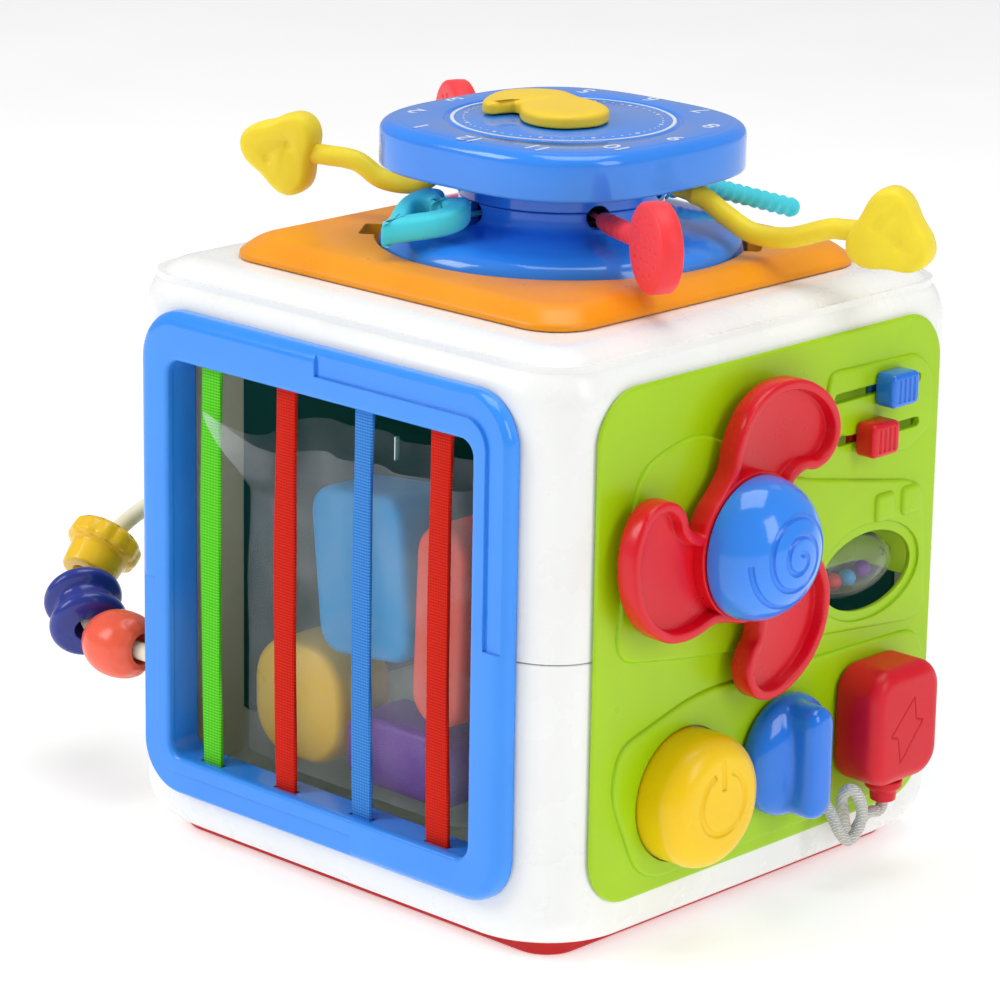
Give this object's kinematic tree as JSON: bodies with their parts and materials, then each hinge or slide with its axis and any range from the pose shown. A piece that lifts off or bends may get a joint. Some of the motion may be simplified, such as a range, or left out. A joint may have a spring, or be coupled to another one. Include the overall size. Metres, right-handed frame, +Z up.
{
  "type": "shape sorter",
  "caption": "Baby activity cube with an elastic-band sorting window, a busy panel with spinner and controls, a bead loop and a pull-string clock toy on top.",
  "frame": {"origin": "centre of the flat underside of the red base plate, on the surface the cube stands on", "axes": "+Z up; -Y out of the elastic-band window; +X out of the busy panel; the bead loop is on -X"},
  "size_m": [0.2319, 0.157, 0.1889],
  "materials": {
    "white_plastic": "smooth moulded",
    "frame_blue": "polished moulded",
    "toy_blue": "polished moulded",
    "orange": "satin moulded",
    "lime": "satin moulded",
    "fan_red": "satin moulded",
    "button_yellow": "satin moulded",
    "base_red": "satin moulded",
    "teal": "satin moulded",
    "cream": "smooth tube",
    "grey": "inner part",
    "steel": "spring wire",
    "clear": "clear moulded plastic",
    "film": "frosted poly film",
    "cord_white": "braided",
    "silicone_yellow": "matt silicone",
    "silicone_red": "matt silicone",
    "silicone_cyan": "matt silicone",
    "bead_yellow": "moulded",
    "bead_blue": "moulded",
    "bead_orange": "moulded",
    "violet": "moulded",
    "sky": "moulded",
    "band_green": "woven elastic",
    "band_red": "woven elastic",
    "band_blue": "woven elastic"
  },
  "bodies": {
    "cube": {"lower_shell": "white_plastic", "upper_shell": "white_plastic", "base_plate": "base_red", "window_frame": "frame_blue", "band_green": "band_green", "band_red_left": "band_red", "band_blue": "band_blue", "band_red_right": "band_red", "busy_panel": "lime", "bead_panel": "teal", "back_panel": "teal", "top_plate": "orange", "bead_tube": "cream", "key_cord": "cord_white", "cord_anchor": "grey", "button_spring": "steel", "button_bracket": "grey", "drum_bracket": "grey", "block_bag": "film", "block_cyan": "sky", "block_yellow": "button_yellow", "block_orange": "bead_orange", "block_purple": "violet"},
    "fan": {"fan_blades": "fan_red", "fan_dome": "toy_blue", "fan_axle": "fan_red", "fan_clip": "grey"},
    "button": {"power_button": "button_yellow", "button_retainer": "grey"},
    "knob": {"rotary_knob": "toy_blue", "knob_clip": "grey"},
    "slider_up": {"upper_slider": "toy_blue"},
    "slider_low": {"lower_slider": "fan_red"},
    "rattle": {"rattle_drum": "clear", "rattle_bead_1": "bead_yellow", "rattle_bead_2": "fan_red", "rattle_bead_3": "sky", "rattle_bead_4": "violet"},
    "key": {"pull_key": "fan_red", "key_nozzle": "fan_red"},
    "bead_y": {"bead_yellow": "bead_yellow"},
    "bead_b": {"bead_blue": "bead_blue"},
    "bead_o": {"bead_orange": "bead_orange"},
    "pull_toy": {"pull_base": "toy_blue", "pull_head": "toy_blue"},
    "pointer": {"clock_pointer": "button_yellow"},
    "yellow_pull": {"yellow_string": "silicone_yellow", "yellow_end_left": "silicone_yellow", "yellow_end_right": "silicone_yellow"},
    "red_pull": {"red_string": "silicone_red", "red_paddle_front": "silicone_red", "red_paddle_back": "silicone_red"},
    "cyan_pull": {"cyan_string": "silicone_cyan", "cyan_heart": "silicone_cyan"}
  },
  "joints": [
    {"name": "fan_spin", "type": "hinge", "parent": "cube", "child": "fan", "pos_m": [0.08, -0.0183, 0.0975], "axis": [1, 0, 0], "continuous": true},
    {"name": "button_press", "type": "slide", "parent": "cube", "child": "button", "axis": [-1, 0, 0], "range_m": [0, 0.003], "stiffness_N_per_m": 400, "springref_m": -0.002, "deforming": ["button_spring"]},
    {"name": "knob_turn", "type": "hinge", "parent": "cube", "child": "knob", "pos_m": [0.08, 0.0042, 0.0386], "axis": [1, 0, 0], "range_deg": [-150, 150]},
    {"name": "upper_slide", "type": "slide", "parent": "cube", "child": "slider_up", "axis": [0, 1, 0], "range_m": [-0.015, 0.008]},
    {"name": "lower_slide", "type": "slide", "parent": "cube", "child": "slider_low", "axis": [0, 1, 0], "range_m": [-0.0045, 0.015]},
    {"name": "drum_spin", "type": "hinge", "parent": "cube", "child": "rattle", "pos_m": [0.0686, 0.0363, 0.0779], "axis": [0, 1, 0], "continuous": true},
    {"name": "key_pull", "type": "slide", "parent": "cube", "child": "key", "axis": [1, 0, 0], "range_m": [0, 0.015]},
    {"name": "yellow_bead_slide", "type": "hinge", "parent": "cube", "child": "bead_y", "pos_m": [-0.095, -0.04, 0.057], "axis": [0, 0.6428, -0.766], "range_deg": [0, 75]},
    {"name": "blue_bead_slide", "type": "hinge", "parent": "cube", "child": "bead_b", "pos_m": [-0.095, -0.04, 0.057], "axis": [0, 0.6428, -0.766], "range_deg": [0, 75]},
    {"name": "orange_bead_slide", "type": "hinge", "parent": "cube", "child": "bead_o", "pos_m": [-0.095, -0.04, 0.057], "axis": [0, 0.6428, -0.766], "range_deg": [0, 75]},
    {"name": "toy_lift", "type": "slide", "parent": "cube", "child": "pull_toy", "axis": [0, 0, 1], "range_m": [0, 0.03]},
    {"name": "pointer_spin", "type": "hinge", "parent": "pull_toy", "child": "pointer", "pos_m": [0.0026, 0.0025, 0.185], "axis": [0, 0, 1], "continuous": true},
    {"name": "yellow_string_slide", "type": "slide", "parent": "pull_toy", "child": "yellow_pull", "axis": [0.9397, 0.342, 0], "range_m": [-0.005, 0.005]},
    {"name": "red_string_slide", "type": "slide", "parent": "pull_toy", "child": "red_pull", "axis": [0.891, -0.454, 0], "range_m": [-0.004, 0.011]},
    {"name": "cyan_string_slide", "type": "slide", "parent": "pull_toy", "child": "cyan_pull", "axis": [-0.225, -0.9744, 0], "range_m": [-0.001, 0.005]}
  ],
  "couplings": [
    {"joint": "blue_bead_slide", "follows": "yellow_bead_slide", "ratio": 1},
    {"joint": "orange_bead_slide", "follows": "yellow_bead_slide", "ratio": 1}
  ]
}
